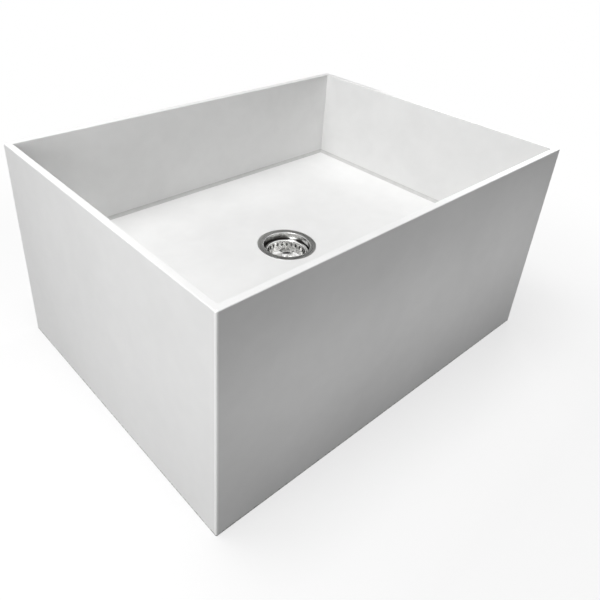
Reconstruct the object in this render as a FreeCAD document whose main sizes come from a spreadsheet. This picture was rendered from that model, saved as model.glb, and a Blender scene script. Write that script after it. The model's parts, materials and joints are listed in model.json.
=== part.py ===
import FreeCAD
import Part
import Sketcher
import math
import os
import re

# Pet wash tub: a white sheet box with an open basin on top, a hollow below the basin floor and a
# basket strainer in the middle of the floor. Millimetres, +Z up. The origin is on the ground under
# the middle of the tub, +X runs along its length and -Y is its front.

SIZES = {
    # The box and its sheet
    "tub_length": 800,
    "tub_width": 600,
    "tub_height": 400,
    "basin_depth": 200,
    "sheet_thickness": 12,
    "edge_round": 2.5,
    "rim_round": 1.5,
    # The basin floor: how far it falls to the drain, and the level ground round the drain
    "floor_fall": 4,
    "landing_margin": 12,
    # What carries the floor
    "ledger_height": 30,
    "block_leg": 28,
    "block_lift": 10,
    "rib_spacing": 360,
    "arch_width": 160,
    "arch_height": 90,
    "arch_round": 30,
    # The strainer's bowl
    "flange_diameter": 114,
    "flange_thickness": 1.5,
    "flange_round": 0.8,
    "bowl_bore": 90,
    "bowl_wall": 1.2,
    "bowl_depth": 54,
    "ledge_depth": 16,
    "lower_bore": 80,
    "press_round": 2,
    "outlet_hole": 13,
    "outlet_ring": 36,
    "outlet_count": 6,
    # How the bowl sits in the floor
    "hole_clearance": 1,
    "seat_clearance": 0.5,
    "gasket_thickness": 1.5,
    "gasket_inset": 3,
    "under_gasket_thickness": 3,
    # The waste body below the floor
    "collar_diameter": 112,
    "collar_thickness": 5,
    "waste_wall": 3,
    "clamp_gap": 2,
    "hub_diameter": 22,
    "hub_height": 16,
    "spoke_width": 6,
    "spoke_height": 10,
    "spoke_count": 4,
    # The reducer screwed on below it, with the threaded outlet
    "reducer_seal_thickness": 2,
    "skirt_height": 10,
    "skirt_clearance": 0.2,
    "funnel_height": 18,
    "outlet_bore": 40,
    "outlet_thread": 47.8,
    "outlet_length": 26,
    "thread_chamfer": 1,
    # The screw and nut that clamp bowl and waste body on the floor
    "screw_diameter": 8,
    "screw_clearance": 0.3,
    "screw_tail": 3,
    "screw_head_diameter": 15,
    "screw_head_height": 3.6,
    "screw_head_round": 1.4,
    "screw_slot_width": 2,
    "screw_slot_depth": 1.6,
    "nut_width": 13,
    "nut_height": 8,
    "nut_clearance": 0.1,
    # The lift-out basket
    "basket_diameter": 75,
    "basket_wall": 1,
    "basket_corner": 3,
    "dish_upstand": 0.5,
    "bottom_hole": 5,
    "bottom_hole_count": 12,
    "basket_rim_diameter": 87.4,
    "basket_rim_height": 2.6,
    "basket_rim_gap": 0.3,
    "basket_rim_round": 2.2,
    "slot_width": 4,
    "slot_height": 8,
    "slot_drop": 2,
    "slot_count": 24,
    # The rubber stopper under the basket, its washer and the stem
    "seal_diameter": 54,
    "seal_height": 12,
    "seal_web": 4,
    "seal_recess_diameter": 32,
    "seal_round": 1,
    "washer_diameter": 24,
    "washer_thickness": 1.2,
    "stem_diameter": 6,
    "stem_clearance": 0.1,
    "stem_head_diameter": 10,
    "stem_head_height": 1.5,
    "stem_end_gap": 0.3,
    # The knob in the middle of the basket
    "knob_diameter": 27,
    "knob_height": 23,
    "knob_foot_diameter": 14,
    "knob_foot_height": 4,
    "knob_neck_diameter": 9,
    "knob_head_height": 8,
    "knob_rim_height": 2.5,
    "knob_crown": 2.5,
    "knob_bore_depth": 10,
    "knob_round": 0.8,
    "scallop_diameter": 22,
    "scallop_ring": 37,
    "scallop_count": 3,
    "knob_turn": 24,
}

# Places that several pieces share, as formulas in the words above
FLOOR_TOP = "(tub_height - basin_depth)"
FLOOR_UNDERSIDE = f"({FLOOR_TOP} - sheet_thickness)"
INNER_LENGTH = "(tub_length - 2 * sheet_thickness)"
INNER_WIDTH = "(tub_width - 2 * sheet_thickness)"
LEDGER_BOTTOM = f"({FLOOR_UNDERSIDE} - ledger_height)"
RIM_TOP = "tub_height"

# Heights in the drain's own frame, whose zero is the flange's top on the drain's axis
FLANGE_TOP = f"({FLOOR_TOP} - floor_fall)"
HOLE_DIAMETER = "(bowl_bore + 2 * bowl_wall + 2 * hole_clearance)"
PLATE_UNDERSIDE = f"({FLOOR_UNDERSIDE} - {FLANGE_TOP})"
COLLAR_TOP = f"({PLATE_UNDERSIDE} - under_gasket_thickness)"
BOWL_BOTTOM = "(-bowl_depth)"
HUB_TOP = f"({BOWL_BOTTOM} - bowl_wall - clamp_gap)"
HUB_BOTTOM = f"({HUB_TOP} - hub_height)"
CUP_RADIUS = f"({HOLE_DIAMETER} / 2)"
CUP_BOTTOM = f"({HUB_TOP} - spoke_height)"
REDUCER_SEAT = f"({CUP_BOTTOM} - reducer_seal_thickness)"
FUNNEL_BOTTOM = f"({REDUCER_SEAT} - funnel_height)"
OUTLET_END = f"({FUNNEL_BOTTOM} - outlet_length)"
BASKET_UNDERSIDE = f"({BOWL_BOTTOM} + seal_height)"
BASKET_FLOOR = f"({BASKET_UNDERSIDE} + basket_wall)"
BASKET_INNER_RADIUS = "(basket_diameter / 2 - basket_wall)"
DISH_TOP = f"({BASKET_FLOOR} + basket_corner + dish_upstand)"
BASKET_RIM_UNDERSIDE = "(-ledge_depth + basket_rim_gap)"
BASKET_RIM_TOP = f"({BASKET_RIM_UNDERSIDE} + basket_rim_height)"
WEB_UNDERSIDE = f"({BASKET_UNDERSIDE} - seal_web)"
WASHER_UNDERSIDE = f"({WEB_UNDERSIDE} - washer_thickness)"
STEM_HOLE_RADIUS = "(stem_diameter / 2 + stem_clearance)"
KNOB_TOP = f"({BASKET_FLOOR} + knob_height)"

SAME_PLACE = 1e-4
DIAGONAL = "(1 - sqrt(0.5))"

doc = FreeCAD.newDocument("pet_wash_tub")
sheet = doc.addObject("Spreadsheet::Sheet", "sizes")
for row, (word, size) in enumerate(SIZES.items(), start=1):
    sheet.set(f"A{row}", word)
    sheet.set(f"B{row}", str(size))
    sheet.setAlias(f"B{row}", word)
doc.recompute()
pieces = []


def in_sheet(formula):
    """The formula with each size's word turned into its cell."""
    return re.sub("[a-z_]+", lambda word: f"sizes.{word[0]}" if word[0] in SIZES else word[0], formula)


def number(formula):
    """What a formula comes to."""
    return float(sheet.evalExpression(in_sheet(formula)))


def bind(feature, prop, formula):
    """Ties a property to a formula."""
    feature.setExpression(prop, in_sheet(formula))


def place(piece, x="0", y="0", z="0", turn=0):
    """Stands a piece at a point given by formulas, turned about Z by so many degrees."""
    piece.Placement.Rotation = FreeCAD.Rotation(FreeCAD.Vector(0, 0, 1), turn)
    for axis, formula in (("x", x), ("y", y), ("z", z)):
        bind(piece, f"Placement.Base.{axis}", formula)


def new_piece(kind, label):
    """A sub-part, which is written to a file under its label."""
    piece = doc.addObject(kind, label)
    piece.Label = label
    pieces.append(piece)
    return piece


def new_body(label):
    """A sub-part that is built up from sketches."""
    return new_piece("PartDesign::Body", label)


def origin_feature(body, role):
    """One of a body's own origin planes or axes."""
    return next(feature for feature in body.Origin.OriginFeatures if feature.Role == role)


def new_sketch(body, name, plane="XY_Plane", level="0"):
    """A sketch on one of a body's own planes, raised to a level along its normal."""
    sketch = body.newObject("Sketcher::SketchObject", f"{body.Label}_{name}")
    sketch.AttachmentSupport = [(origin_feature(body, plane), "")]
    sketch.MapMode = "FlatFace"
    bind(sketch, "AttachmentOffset.Base.z", level)
    return sketch


def dimension(sketch, kind, formula, *where):
    """Adds a dimension that follows a formula."""
    index = sketch.addConstraint(Sketcher.Constraint(kind, *where, number(formula)))
    sketch.setExpression(f"Constraints[{index}]", in_sheet(formula))


def pin_point(sketch, geometry, corner, across, up):
    """Holds a point of a sketch at a distance from both axes, or on an axis where that is zero."""
    for kind, formula, axis in (("DistanceX", across, -2), ("DistanceY", up, -1)):
        if formula == "0":
            sketch.addConstraint(Sketcher.Constraint("PointOnObject", geometry, corner, axis))
        else:
            dimension(sketch, kind, formula, -1, 1, geometry, corner)


def arc_between(start, end, radius):
    """The short arc that turns left from one point to another."""
    chord = end - start
    rise = math.sqrt(radius ** 2 - (chord.Length / 2) ** 2)
    left = FreeCAD.Vector(-chord.y, chord.x, 0).normalize()
    centre = (start + end) / 2 + left * rise
    angles = [math.atan2(point.y - centre.y, point.x - centre.x) for point in (start, end)]
    return Part.ArcOfCircle(Part.Circle(centre, FreeCAD.Vector(0, 0, 1), radius), *angles)


def outline(body, name, points, arcs=None, plane="XY_Plane", level="0"):
    """A closed outline through points given by formulas. Arcs gives the radius of each side that is round."""
    arcs = arcs or {}
    sketch = new_sketch(body, name, plane, level)
    spots = [FreeCAD.Vector(number(across), number(up), 0) for across, up in points]
    for side, start in enumerate(spots):
        end = spots[(side + 1) % len(spots)]
        if side in arcs:
            sketch.addGeometry(arc_between(start, end, number(arcs[side])))
        else:
            sketch.addGeometry(Part.LineSegment(start, end))
    for side, (across, up) in enumerate(points):
        sketch.addConstraint(Sketcher.Constraint("Coincident", side, 2, (side + 1) % len(points), 1))
        pin_point(sketch, side, 1, across, up)
    for side, radius in arcs.items():
        dimension(sketch, "Radius", radius, side)
    return sketch


def circle(body, name, diameter, level="0", across="0"):
    """A round outline on a level of a body, its middle so far out along X."""
    sketch = new_sketch(body, name, level=level)
    middle = FreeCAD.Vector(number(across), 0, 0)
    sketch.addGeometry(Part.Circle(middle, FreeCAD.Vector(0, 0, 1), number(diameter) / 2))
    pin_point(sketch, 0, 3, across, "0")
    dimension(sketch, "Diameter", diameter, 0)
    return sketch


def rectangle(body, name, length, width, level="0"):
    """A rectangle about a body's middle on one of its levels."""
    corners = ((-1, -1), (1, -1), (1, 1), (-1, 1))
    points = [(f"{side} * {length} / 2", f"{end} * {width} / 2") for side, end in corners]
    return outline(body, name, points, level=level)


def pad(body, sketch, height, reversed_way=False):
    """Raises a sketch into a solid, or sinks it when reversed."""
    feature = body.newObject("PartDesign::Pad", f"{sketch.Label}_pad")
    feature.Profile = sketch
    feature.Reversed = reversed_way
    bind(feature, "Length", height)
    return feature


def turned(body, points, arcs=None):
    """A solid of revolution about Z, from a half section in radii and heights."""
    sketch = outline(body, "section", points, arcs, plane="XZ_Plane")
    feature = body.newObject("PartDesign::Revolution", f"{body.Label}_turned")
    feature.Profile = sketch
    feature.ReferenceAxis = (sketch, ["V_Axis"])
    feature.Angle = 360
    return feature


def pocket(body, sketch, depth=None, reversed_way=False):
    """Cuts a sketch into its body, to a depth or right through, and makes sure that it took material."""
    doc.recompute()
    before = body.Shape.Volume
    feature = body.newObject("PartDesign::Pocket", f"{sketch.Label}_cut")
    feature.Profile = sketch
    feature.Reversed = reversed_way
    if depth is None:
        feature.Type = "ThroughAll"
    else:
        bind(feature, "Length", depth)
    doc.recompute()
    if body.Shape.Volume >= before - SAME_PLACE:
        raise RuntimeError(f"{sketch.Label} cuts nothing")
    return feature


def repeat_round(body, feature, count):
    """Repeats a feature round Z."""
    pattern = body.newObject("PartDesign::PolarPattern", f"{feature.Label}_ring")
    pattern.Originals = [feature]
    pattern.Axis = (origin_feature(body, "Z_Axis"), [""])
    pattern.Angle = 360
    bind(pattern, "Occurrences", count)
    body.Tip = pattern
    return pattern


def soften(body, name, radius, wanted, kind="Fillet", prop="Radius"):
    """Rounds or bevels those edges of a body that a test picks."""
    doc.recompute()
    base = body.Tip
    names = [f"Edge{place_in_list}" for place_in_list, edge in enumerate(base.Shape.Edges, start=1)
             if wanted(edge)]
    if not names:
        raise RuntimeError(f"{body.Label} has no edge for {name}")
    feature = body.newObject(f"PartDesign::{kind}", f"{body.Label}_{name}")
    feature.Base = (base, names)
    bind(feature, prop, radius)
    return feature


def rings(*places):
    """A test for the round edges of a turned piece at given radii and heights."""
    spots = [(number(radius), number(height)) for radius, height in places]

    def wanted(edge):
        if edge.Degenerated or not isinstance(edge.Curve, Part.Circle):
            return False
        here = (edge.Curve.Radius, edge.Curve.Center.z)
        return any(math.dist(here, spot) < SAME_PLACE for spot in spots)

    return wanted


def same(value, formula):
    """Whether a measure is what a formula gives."""
    return abs(value - number(formula)) < SAME_PLACE


# The box


def wall_panel(label, span, x, y, turn):
    """One upright wall, mitred at both ends, with half of the round of each corner. Its outer face is at
    its own y = 0 and its inner face at the sheet's thickness."""
    body = new_body(label)
    end = f"{span} / 2"
    points = [
        (f"-{end} + edge_round", "0"),
        (f"{end} - edge_round", "0"),
        (f"{end} - edge_round * {DIAGONAL}", f"edge_round * {DIAGONAL}"),
        (f"{end} - sheet_thickness", "sheet_thickness"),
        (f"-{end} + sheet_thickness", "sheet_thickness"),
        (f"-{end} + edge_round * {DIAGONAL}", f"edge_round * {DIAGONAL}"),
    ]
    section = outline(body, "section", points, arcs={1: "edge_round", 5: "edge_round"})
    pad(body, section, RIM_TOP)

    def on_rim(edge):
        ends_up = all(same(vertex.Z, RIM_TOP) for vertex in edge.Vertexes)
        along_wall = isinstance(edge.Curve, Part.Circle) or abs(edge.tangentAt(edge.FirstParameter).y) < 0.5
        return ends_up and along_wall

    soften(body, "rim", "rim_round", on_rim)
    place(body, x, y, turn=turn)


def basin_floor():
    """The floor sheet between the walls. It falls from the walls to a level landing, where a rebate takes
    the strainer's flange and its gasket, and the bowl goes through a hole."""
    body = new_body("basin_floor")
    pad(body, rectangle(body, "plate", INNER_LENGTH, INNER_WIDTH), "sheet_thickness")
    doc.recompute()
    whole = body.Shape.Volume
    landing = "sheet_thickness - floor_fall"
    landing_side = "(flange_diameter + 2 * seat_clearance + 2 * landing_margin)"
    fall = body.newObject("PartDesign::SubtractiveLoft", "basin_floor_fall")
    fall.Profile = rectangle(body, "walls", INNER_LENGTH, INNER_WIDTH, level="sheet_thickness")
    fall.Sections = [rectangle(body, "landing", landing_side, landing_side, level=landing)]
    fall.Ruled = True
    doc.recompute()
    if body.Shape.Volume >= whole:
        raise RuntimeError("the fall takes nothing off the floor")
    rebate = circle(body, "rebate", "flange_diameter + 2 * seat_clearance", level=landing)
    pocket(body, rebate, "flange_thickness + gasket_thickness")
    pocket(body, circle(body, "hole", HOLE_DIAMETER, level=landing))
    place(body, z=FLOOR_UNDERSIDE)


def ledger(label, length, width, x, y):
    """A strip glued along a wall, just under the floor."""
    strip = new_piece("Part::Box", label)
    bind(strip, "Length", length)
    bind(strip, "Width", width)
    bind(strip, "Height", "ledger_height")
    place(strip, x, y, LEDGER_BOTTOM)


def rib(label, side):
    """An upright board under the floor from front to rear, notched round the ledgers, with an arch at the
    ground for the drain hose."""
    body = new_body(label)
    wall = f"{INNER_WIDTH} / 2"
    notch = f"{wall} - sheet_thickness"
    points = [
        (f"-{wall}", "0"),
        ("-arch_width / 2", "0"),
        ("-arch_width / 2", "arch_height"),
        ("arch_width / 2", "arch_height"),
        ("arch_width / 2", "0"),
        (wall, "0"),
        (wall, LEDGER_BOTTOM),
        (notch, LEDGER_BOTTOM),
        (notch, FLOOR_UNDERSIDE),
        (f"-({notch})", FLOOR_UNDERSIDE),
        (f"-({notch})", LEDGER_BOTTOM),
        (f"-{wall}", LEDGER_BOTTOM),
    ]
    pad(body, outline(body, "board", points, plane="YZ_Plane"), "sheet_thickness")

    def arch_corner(edge):
        middle = edge.CenterOfMass
        return same(abs(middle.y), "arch_width / 2") and same(middle.z, "arch_height")

    soften(body, "arch", "arch_round", arch_corner)
    place(body, x=f"{side} * rib_spacing / 2 - sheet_thickness / 2")


def corner_block(label, side, end, turn):
    """A three-cornered glue block behind a mitred corner, below the ledgers and clear of the ground."""
    body = new_body(label)
    section = outline(body, "section", [("0", "0"), ("block_leg", "0"), ("0", "block_leg")])
    pad(body, section, f"{LEDGER_BOTTOM} - block_lift")
    place(body, f"{side} * {INNER_LENGTH} / 2", f"{end} * {INNER_WIDTH} / 2", "block_lift", turn)


# The strainer


def at_drain(piece, turn=0):
    """Puts a piece that was drawn in the drain's frame in its place in the floor."""
    place(piece, z=FLANGE_TOP, turn=turn)


def strainer_bowl():
    """Pressed steel cup with a flat flange, a ledge for the basket and outlet holes in its bottom."""
    body = new_body("strainer_bowl")
    upper = "bowl_bore / 2"
    lower = "lower_bore / 2"
    underside = f"{BOWL_BOTTOM} - bowl_wall"
    screw_hole = "screw_diameter / 2 + screw_clearance"
    turned(body, [
        (upper, "0"),
        ("flange_diameter / 2", "0"),
        ("flange_diameter / 2", "-flange_thickness"),
        (f"{upper} + bowl_wall", "-flange_thickness"),
        (f"{upper} + bowl_wall", "-ledge_depth - bowl_wall"),
        (f"{lower} + bowl_wall", "-ledge_depth - bowl_wall"),
        (f"{lower} + bowl_wall", underside),
        (screw_hole, underside),
        (screw_hole, BOWL_BOTTOM),
        (lower, BOWL_BOTTOM),
        (lower, "-ledge_depth"),
        (upper, "-ledge_depth"),
    ])
    soften(body, "flange_edge", "flange_round", rings(("flange_diameter / 2", "0")))
    soften(body, "inner_bends", "press_round", rings((upper, "0"), (lower, BOWL_BOTTOM)))
    soften(body, "outer_bend", "press_round + bowl_wall", rings((f"{lower} + bowl_wall", underside)))
    outlet = pocket(body, circle(body, "outlet", "outlet_hole", BOWL_BOTTOM, "outlet_ring / 2"))
    repeat_round(body, outlet, "outlet_count")
    at_drain(body)


def gasket(label, outer, thickness, underside):
    """A flat ring round the drain hole."""
    ring = new_piece("Part::Cut", label)
    for role, diameter in (("Base", outer), ("Tool", HOLE_DIAMETER)):
        disc = doc.addObject("Part::Cylinder", f"{label}_{role.lower()}")
        bind(disc, "Radius", f"({diameter}) / 2")
        bind(disc, "Height", thickness)
        setattr(ring, role, disc)
    place(ring, z=f"{FLANGE_TOP} + {underside}")


def waste_body():
    """Plastic body under the floor: a collar against the lower gasket and an open cup round the bowl, with
    a hub on spokes for the clamp nut."""
    body = new_body("waste_body")
    turned(body, [
        (CUP_RADIUS, COLLAR_TOP),
        ("collar_diameter / 2", COLLAR_TOP),
        ("collar_diameter / 2", f"{COLLAR_TOP} - collar_thickness"),
        (f"{CUP_RADIUS} + waste_wall", f"{COLLAR_TOP} - collar_thickness"),
        (f"{CUP_RADIUS} + waste_wall", CUP_BOTTOM),
        (CUP_RADIUS, CUP_BOTTOM),
    ])
    reach = f"{CUP_RADIUS} + waste_wall / 2"
    spoke_points = [("0", "-spoke_width / 2"), (reach, "-spoke_width / 2"),
                    (reach, "spoke_width / 2"), ("0", "spoke_width / 2")]
    spoke = pad(body, outline(body, "spoke", spoke_points, level=HUB_TOP), "spoke_height", reversed_way=True)
    repeat_round(body, spoke, "spoke_count")
    pad(body, circle(body, "hub", "hub_diameter", HUB_TOP), "hub_height", reversed_way=True)
    pocket(body, circle(body, "screw_hole", "screw_diameter + 2 * screw_clearance", HUB_TOP))
    nut_pocket = hexagon(body, "nut_pocket", "(nut_width + 2 * nut_clearance)", HUB_BOTTOM)
    pocket(body, nut_pocket, "nut_height", reversed_way=True)
    at_drain(body)


def outlet_reducer():
    """Funnel screwed up round the waste body's cup by its skirt, down to the threaded outlet."""
    body = new_body("outlet_reducer")
    skirt = f"{CUP_RADIUS} + waste_wall + skirt_clearance"
    turned(body, [
        (CUP_RADIUS, REDUCER_SEAT),
        (skirt, REDUCER_SEAT),
        (skirt, f"{REDUCER_SEAT} + skirt_height"),
        (f"{skirt} + waste_wall", f"{REDUCER_SEAT} + skirt_height"),
        (f"{skirt} + waste_wall", f"{REDUCER_SEAT} - waste_wall"),
        ("outlet_thread / 2", FUNNEL_BOTTOM),
        ("outlet_thread / 2", OUTLET_END),
        ("outlet_bore / 2", OUTLET_END),
        ("outlet_bore / 2", FUNNEL_BOTTOM),
    ])
    soften(body, "thread_lead", "thread_chamfer", rings(("outlet_thread / 2", OUTLET_END)), "Chamfer", "Size")
    at_drain(body)


def hexagon(body, name, width, level):
    """A hexagon about a body's middle, given by its width across flats."""
    point = f"{width} / sqrt(3)"
    shoulder = f"{width} / sqrt(12)"
    flat = f"{width} / 2"
    points = [(point, "0"), (shoulder, flat), (f"-{shoulder}", flat),
              (f"-{point}", "0"), (f"-{shoulder}", f"-{flat}"), (shoulder, f"-{flat}")]
    return outline(body, name, points, level=level)


def clamp_screw():
    """Slotted screw through the bowl's bottom into the waste body's nut."""
    body = new_body("clamp_screw")
    head_top = f"{BOWL_BOTTOM} + screw_head_height"
    tip = f"{HUB_BOTTOM} - screw_tail"
    turned(body, [
        ("0", head_top),
        ("0", tip),
        ("screw_diameter / 2", tip),
        ("screw_diameter / 2", BOWL_BOTTOM),
        ("screw_head_diameter / 2", BOWL_BOTTOM),
        ("screw_head_diameter / 2", head_top),
    ])
    soften(body, "head_edge", "screw_head_round", rings(("screw_head_diameter / 2", head_top)))
    slot = rectangle(body, "slot", "screw_head_diameter", "screw_slot_width", head_top)
    pocket(body, slot, "screw_slot_depth")
    at_drain(body)


def clamp_nut():
    """Hexagon nut in the hub's pocket."""
    body = new_body("clamp_nut")
    pad(body, hexagon(body, "flats", "nut_width", HUB_BOTTOM), "nut_height")
    pocket(body, circle(body, "bore", "screw_diameter + 2 * nut_clearance", f"{HUB_BOTTOM} + nut_height"))
    at_drain(body)


def basket_dish():
    """Pressed floor of the basket with a coned foot, and a ring of holes outside the stopper."""
    body = new_body("basket_dish")
    wall = "basket_diameter / 2"
    turned(body, [
        (STEM_HOLE_RADIUS, BASKET_UNDERSIDE),
        (wall, BASKET_UNDERSIDE),
        (wall, DISH_TOP),
        (BASKET_INNER_RADIUS, DISH_TOP),
        (BASKET_INNER_RADIUS, BASKET_FLOOR),
        (STEM_HOLE_RADIUS, BASKET_FLOOR),
    ])
    inner_foot = rings((BASKET_INNER_RADIUS, BASKET_FLOOR))
    soften(body, "inner_cone", "basket_corner", inner_foot, "Chamfer", "Size")
    outer_foot = rings((wall, BASKET_UNDERSIDE))
    soften(body, "outer_cone", "basket_corner + basket_wall / 2", outer_foot, "Chamfer", "Size")
    middle = f"(seal_diameter / 2 + {BASKET_INNER_RADIUS} - basket_corner) / 2"
    hole = pocket(body, circle(body, "hole", "bottom_hole", BASKET_FLOOR, middle))
    repeat_round(body, hole, "bottom_hole_count")
    at_drain(body)


def basket_band():
    """Slotted wall of the basket, from its dish up to its rim."""
    body = new_body("basket_band")
    wall = "basket_diameter / 2"
    turned(body, [
        (BASKET_INNER_RADIUS, DISH_TOP),
        (wall, DISH_TOP),
        (wall, BASKET_RIM_UNDERSIDE),
        (BASKET_INNER_RADIUS, BASKET_RIM_UNDERSIDE),
    ])
    half = "slot_width / 2"
    top = f"({BASKET_RIM_UNDERSIDE} - slot_drop)"
    bottom = f"({top} - slot_height)"
    slot_points = [
        (half, f"{bottom} + {half}"),
        (half, f"{top} - {half}"),
        ("0", top),
        (f"-{half}", f"{top} - {half}"),
        (f"-{half}", f"{bottom} + {half}"),
        ("0", bottom),
    ]
    slot = outline(body, "slot", slot_points, {side: half for side in (1, 2, 4, 5)}, "XZ_Plane")
    repeat_round(body, pocket(body, slot), "slot_count")
    at_drain(body)


def basket_rim():
    """Crowned ring on the band's upper edge, over the bowl's ledge."""
    body = new_body("basket_rim")
    outer = "basket_rim_diameter / 2"
    turned(body, [
        (BASKET_INNER_RADIUS, BASKET_RIM_UNDERSIDE),
        (outer, BASKET_RIM_UNDERSIDE),
        (outer, BASKET_RIM_TOP),
        (BASKET_INNER_RADIUS, BASKET_RIM_TOP),
    ])
    top_edges = rings((outer, BASKET_RIM_TOP), (BASKET_INNER_RADIUS, BASKET_RIM_TOP))
    soften(body, "crown", "basket_rim_round", top_edges)
    at_drain(body)


def stopper_seal():
    """Rubber stopper under the basket: a web with a thick lip that closes the outlet holes, hollow over
    the screw's head."""
    body = new_body("stopper_seal")
    edge = "seal_diameter / 2"
    recess = "seal_recess_diameter / 2"
    turned(body, [
        (STEM_HOLE_RADIUS, BASKET_UNDERSIDE),
        (STEM_HOLE_RADIUS, WEB_UNDERSIDE),
        (recess, WEB_UNDERSIDE),
        (recess, BOWL_BOTTOM),
        (edge, BOWL_BOTTOM),
        (edge, BASKET_UNDERSIDE),
    ])
    soften(body, "lip", "seal_round", rings((edge, BOWL_BOTTOM), (edge, BASKET_UNDERSIDE)))
    at_drain(body)


def seal_washer():
    """Washer that holds the stopper's web up against the basket."""
    body = new_body("seal_washer")
    pad(body, circle(body, "disc", "washer_diameter", WASHER_UNDERSIDE), "washer_thickness")
    pocket(body, circle(body, "hole", f"2 * {STEM_HOLE_RADIUS}", WEB_UNDERSIDE))
    at_drain(body)


def basket_stem():
    """Headed stem from below the washer up into the knob."""
    body = new_body("basket_stem")
    head_bottom = f"{WASHER_UNDERSIDE} - stem_head_height"
    end = f"{BASKET_FLOOR} + knob_bore_depth - stem_end_gap"
    turned(body, [
        ("0", head_bottom),
        ("stem_head_diameter / 2", head_bottom),
        ("stem_head_diameter / 2", WASHER_UNDERSIDE),
        ("stem_diameter / 2", WASHER_UNDERSIDE),
        ("stem_diameter / 2", end),
        ("0", end),
    ])
    at_drain(body)


def basket_knob():
    """Turned knob on the basket's floor, bored for the stem, its head scalloped into three lobes."""
    body = new_body("basket_knob")
    head = "knob_diameter / 2"
    neck = "knob_neck_diameter / 2"
    head_bottom = f"{KNOB_TOP} - knob_head_height"
    crown_edge = f"{KNOB_TOP} - knob_crown"
    bore_end = f"{BASKET_FLOOR} + knob_bore_depth"
    crown_radius = "(knob_diameter^2 / 4 + knob_crown^2) / (2 * knob_crown)"
    turned(body, [
        (STEM_HOLE_RADIUS, BASKET_FLOOR),
        ("knob_foot_diameter / 2", BASKET_FLOOR),
        (neck, f"{BASKET_FLOOR} + knob_foot_height"),
        (neck, head_bottom),
        (head, f"{crown_edge} - knob_rim_height"),
        (head, crown_edge),
        ("0", KNOB_TOP),
        ("0", bore_end),
        (STEM_HOLE_RADIUS, bore_end),
    ], arcs={5: crown_radius})
    scallop = circle(body, "scallop", "scallop_diameter", KNOB_TOP, "scallop_ring / 2")
    repeat_round(body, pocket(body, scallop, "knob_head_height"), "scallop_count")
    doc.recompute()
    crown = next(face for face in body.Tip.Shape.Faces if isinstance(face.Surface, Part.Sphere))
    crown_sides = [side for side in crown.OuterWire.Edges if not side.Degenerated and not side.isSeam(crown)]
    soften(body, "lobes", "knob_round", lambda edge: any(edge.isSame(side) for side in crown_sides))
    at_drain(body, number("knob_turn"))


wall_panel("front_panel", "tub_length", "0", "-tub_width / 2", 0)
wall_panel("rear_panel", "tub_length", "0", "tub_width / 2", 180)
wall_panel("left_panel", "tub_width", "-tub_length / 2", "0", -90)
wall_panel("right_panel", "tub_width", "tub_length / 2", "0", 90)
basin_floor()
inner_x = f"{INNER_LENGTH} / 2"
inner_y = f"{INNER_WIDTH} / 2"
short_ledger = f"{INNER_WIDTH} - 2 * sheet_thickness"
ledger("front_ledger", INNER_LENGTH, "sheet_thickness", f"-{inner_x}", f"-{inner_y}")
ledger("rear_ledger", INNER_LENGTH, "sheet_thickness", f"-{inner_x}", f"{inner_y} - sheet_thickness")
ledger("left_ledger", "sheet_thickness", short_ledger, f"-{inner_x}", f"-{inner_y} + sheet_thickness")
ledger("right_ledger", "sheet_thickness", short_ledger, f"{inner_x} - sheet_thickness",
       f"-{inner_y} + sheet_thickness")
rib("left_rib", -1)
rib("right_rib", 1)
corner_block("corner_block_front_left", -1, -1, 0)
corner_block("corner_block_front_right", 1, -1, 90)
corner_block("corner_block_rear_right", 1, 1, 180)
corner_block("corner_block_rear_left", -1, 1, 270)
strainer_bowl()
gasket("flange_gasket", "flange_diameter - 2 * gasket_inset", "gasket_thickness",
       "(-flange_thickness - gasket_thickness)")
gasket("floor_gasket", "collar_diameter", "under_gasket_thickness", COLLAR_TOP)
waste_body()
gasket("reducer_seal", f"2 * ({CUP_RADIUS} + waste_wall)", "reducer_seal_thickness", REDUCER_SEAT)
outlet_reducer()
clamp_screw()
clamp_nut()
basket_dish()
basket_band()
basket_rim()
stopper_seal()
seal_washer()
basket_stem()
basket_knob()
doc.recompute()

failed = [item.Label for item in doc.Objects if {"Invalid", "Error"} & set(item.State)]
failed += [piece.Label for piece in pieces if piece.Shape.isNull() or not piece.Shape.isValid()]
if failed:
    raise RuntimeError(f"failed: {failed}")
os.makedirs("parts", exist_ok=True)
for piece in pieces:
    piece.Shape.exportStep(f"parts/{piece.Label}.step")
    box = piece.Shape.BoundBox
    print(f"{piece.Label}: {len(piece.Shape.Solids)} solid, {piece.Shape.Volume:.0f} mm3,"
          f" z {box.ZMin:.2f} to {box.ZMax:.2f}")
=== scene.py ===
import json
import math

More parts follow.
